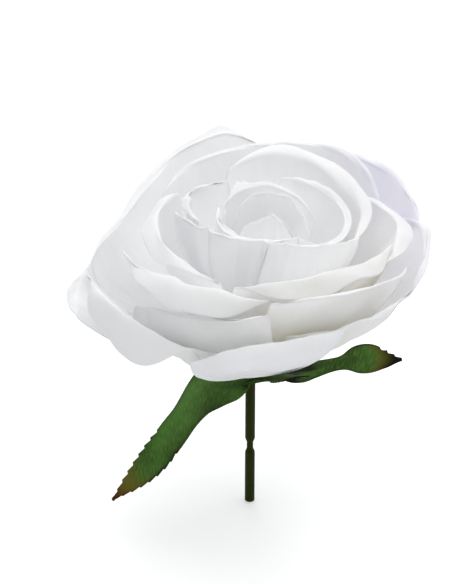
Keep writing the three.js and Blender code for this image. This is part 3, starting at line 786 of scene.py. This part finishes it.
# %% [markdown]
# ## Stem
# The stem is a moulded polyethylene rod with one narrow neck. It is turned from one profile, and the
# points that meet on the axis are merged, so that it is closed. A cylinder with loop cuts would do, but
# here the neck can be moved by its heights. The plastic is a dark, dull olive with fine lengthwise draw
# lines.

# %% Olive polyethylene
DRAW_LINE, DRAW_STRETCH = 0.35, 0.04


def stem_plastic():
    """Two olives mixed by noise that is stretched along the stem. The same noise is a bump."""
    material, tree = new_material("olive polyethylene, moulded")
    place = add(tree, "TexCoord").outputs["Object"]
    scale = 1 / (DRAW_LINE * MM)
    stretched = add(tree, "Mapping", {"Vector": place, "Scale": (scale, scale, DRAW_STRETCH * scale)})
    lines = add(tree, "TexNoise", {"Vector": stretched.outputs[0], "Scale": 1, "Detail": 2})
    olive = add(tree, "Mix", {
        0: lines.outputs["Fac"], MIX_A: linear("#1b2603"), MIX_B: linear("#30390d"),
    }, data_type="RGBA")
    drawn = add(tree, "Bump", {
        "Height": lines.outputs["Fac"], "Strength": 0.3, "Distance": 0.06 * MM,
    })
    plastic = add(tree, "BsdfPrincipled", {
        "Base Color": olive.outputs[MIX_RESULT], "Normal": drawn.outputs[0], "Roughness": 0.5,
        "IOR": 1.51, "Specular IOR Level": 0.06,
    })
    add(tree, "OutputMaterial", {"Surface": plastic.outputs[0]})
    return material


# %% Stem
STEM_RADIUS, NECK_RADIUS = 1.65, 1.08
NECK_START, NECK_WAIST_START, NECK_WAIST_END, NECK_END = 19.2, 21.4, 23.4, 25.4
STEM_TOP = BLOOM_BASE - 0.3
STEM_EDGE, POLE_MERGE = 0.15, 0.001
STEM_SIDES, STEM_ROWS = 48, 240


def turned(profile, sides):
    """A closed turned solid: each (radius, height) of the profile is carried once round the axis."""
    radius, height = np.array(profile, float).T
    angle = np.linspace(0, 2 * np.pi, sides, endpoint=False)[:, None]
    return np.stack([radius * np.cos(angle), radius * np.sin(angle), height + 0 * angle], -1)


heights = np.linspace(STEM_EDGE, STEM_TOP - STEM_EDGE, STEM_ROWS)
narrowed = smoothstep(heights, NECK_START, NECK_WAIST_START)
widened = smoothstep(heights, NECK_WAIST_END, NECK_END)
radii = STEM_RADIUS - (STEM_RADIUS - NECK_RADIUS) * (narrowed - widened)
end_radius = STEM_RADIUS - STEM_EDGE
profile = [(0, 0), (end_radius, 0), *zip(radii, heights), (end_radius, STEM_TOP), (0, STEM_TOP)]
rod = turned(profile, STEM_SIDES)
quads = grid_quads(STEM_SIDES + 1, len(profile)) % rod[..., 0].size
stem = new_piece("stem_rod", rod, quads, stem_plastic())
closed = bmesh.new()
closed.from_mesh(stem.data)
bmesh.ops.remove_doubles(closed, verts=closed.verts, dist=POLE_MERGE * MM)
closed.to_mesh(stem.data)
closed.free()
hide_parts("stem")
print(f"stem: {STEM_TOP:.1f} mm long, {len(stem.data.polygons)} faces")

# %% [markdown]
# ## Petal core
# The core is the hidden plug that the petals are glued to. Its solid is right as it is, so it stays and
# only gets its plastic: green polyethylene with a faint cloudiness from moulding. Further up, between
# the petals' feet, it is covered by white glue, and a mix by height shows that.

# %% Green polyethylene
GLUE_START, GLUE_FULL = BLOOM_BASE + 9, BLOOM_BASE + 12
CORE_CLOUD = 4


def core_plastic():
    """Two greens mixed by cloudy noise, and white glue mixed over them between two heights."""
    material, tree = new_material("green polyethylene, moulded")
    place = add(tree, "TexCoord").outputs["Object"]
    cloud = add(tree, "TexNoise", {"Vector": place, "Scale": 1 / (CORE_CLOUD * MM), "Detail": 2})
    green = add(tree, "Mix", {
        0: cloud.outputs["Fac"], MIX_A: linear("#33431b"), MIX_B: linear("#42541f"),
    }, data_type="RGBA")
    height = add(tree, "SeparateXYZ", {0: place}).outputs["Z"]
    glued = add(tree, "MapRange", {
        "Value": height, "From Min": GLUE_START * MM, "From Max": GLUE_FULL * MM,
    })
    colour = add(tree, "Mix", {
        0: glued.outputs[0], MIX_A: green.outputs[MIX_RESULT], MIX_B: linear("#eeede6"),
    }, data_type="RGBA")
    plastic = add(tree, "BsdfPrincipled", {
        "Base Color": colour.outputs[MIX_RESULT], "Roughness": 0.5, "IOR": 1.51,
    })
    add(tree, "OutputMaterial", {"Surface": plastic.outputs[0]})
    return material


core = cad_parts["petal_core"]
core.data.materials.clear()
core.data.materials.append(core_plastic())
print("core material:", core.data.materials[0].name)

# %% [markdown]
# ## Floor
# The photograph is a cut-out on white. A pale paper floor takes the shadow, and to the camera it also
# glows a little, so that it reads as white without more light on the rose. Brighter lamps would do
# the same, but then the petals would turn into one white patch.

# %% Floor
FLOOR_GLOW = 0.33
FLOOR_HALF = 4000


def floor_material():
    """White paper that glows where a ray from the camera meets it, straight, mirrored or through glass."""
    material, tree = new_material("white paper sweep")
    seen = add(tree, "LightPath")
    direct = add(tree, "Math", {
        0: seen.outputs["Is Camera Ray"], 1: seen.outputs["Is Glossy Ray"],
    }, operation="MAXIMUM")
    shown = add(tree, "Math", {
        0: direct.outputs[0], 1: seen.outputs["Is Transmission Ray"],
    }, operation="MAXIMUM")
    glow = add(tree, "Math", {0: shown.outputs[0], 1: FLOOR_GLOW}, operation="MULTIPLY")
    paper = add(tree, "BsdfPrincipled", {
        "Base Color": linear("#f6f6f6"), "Roughness": 0.9, "Emission Color": (1, 1, 1, 1),
        "Emission Strength": glow.outputs[0],
    })
    add(tree, "OutputMaterial", {"Surface": paper.outputs[0]})
    return material


corner = np.array([-FLOOR_HALF, FLOOR_HALF])
sheet = np.stack(np.broadcast_arrays(corner[:, None], corner[None, :], 0.0), -1)
mesh = bpy.data.meshes.new("floor")
mesh.from_pydata(sheet.reshape(-1, 3) * MM, [], grid_quads(2, 2).tolist())
mesh.materials.append(floor_material())
floor = bpy.data.objects.new("floor", mesh)
bpy.context.collection.objects.link(floor)
print(f"floor: {2 * FLOOR_HALF * MM:.0f} m square")

# %% [markdown]
# ## Light
# White petals need soft light that comes mostly from one way, or they lose their shape. One large lamp
# hangs overhead, a little behind and to the right. A weaker one stands behind, so that light comes
# through the back petals, as it does through thin cloth. The sky fills in the rest. In the gaps between
# white petals light bounces many times before it gets out, so more bounces are allowed than usual.

# %% Light
SKY_STRENGTH = 0.59
BOUNCES, DIFFUSE_BOUNCES = 20, 16
LAMP_AIM = np.array([0, 0, 80]) * MM

world = bpy.data.worlds.new("studio")
bpy.context.scene.world = world
world.use_nodes = True
world.node_tree.nodes["Background"].inputs["Color"].default_value = linear("#fcfdff")
world.node_tree.nodes["Background"].inputs["Strength"].default_value = SKY_STRENGTH


def soft_lamp(name, place, size, power, colour):
    """A square lamp that faces the bloom, with its place and size in metres and its power in watts."""
    data = bpy.data.lights.new(name, "AREA")
    data.size, data.energy, data.color = size, power, linear(colour)[:3]
    lamp = bpy.data.objects.new(name, data)
    bpy.context.collection.objects.link(lamp)
    lamp.location = place
    aim = LAMP_AIM - np.array(place)
    flat_length = np.hypot(aim[0], aim[1])
    lamp.rotation_euler = (np.arctan2(flat_length, -aim[2]), 0, np.arctan2(-aim[0], aim[1]))
    print(f"{name} lamp: {size} m wide, {power} W")


soft_lamp("key", (0.15, 0.2, 1.0), 1.2, 6.3, "#ffffff")
soft_lamp("back", (0.0, 0.9, 0.5), 0.8, 1.6, "#ffffff")
cycles = bpy.context.scene.cycles
cycles.max_bounces, cycles.diffuse_bounces = BOUNCES, DIFFUSE_BOUNCES

# %% [markdown]
# ## Camera
# The photograph looks down on the bloom at about 30 degrees with little perspective, so the camera is
# a long lens from some way off. It stands on the object's -Y side, so one angle, its height above the
# horizon, sets both its place and its tilt.

# %% Camera
TARGET = np.array([-8, 0, 81.1]) * MM
DISTANCE = 0.7
ELEVATION = np.radians(30)
LENS, SENSOR_WIDTH = 134.8, 36
camera_data = bpy.data.cameras.new("camera")
camera_data.lens, camera_data.sensor_width = LENS, SENSOR_WIDTH
camera = bpy.data.objects.new("camera", camera_data)
bpy.context.collection.objects.link(camera)
camera.location = TARGET + DISTANCE * np.array([0, -np.cos(ELEVATION), np.sin(ELEVATION)])
camera.rotation_euler = (np.pi / 2 - ELEVATION, 0, 0)
bpy.context.scene.camera = camera
bpy.context.scene.view_settings.view_transform = "Standard"
print(f"camera: {DISTANCE} m from the bloom, {LENS} mm lens")
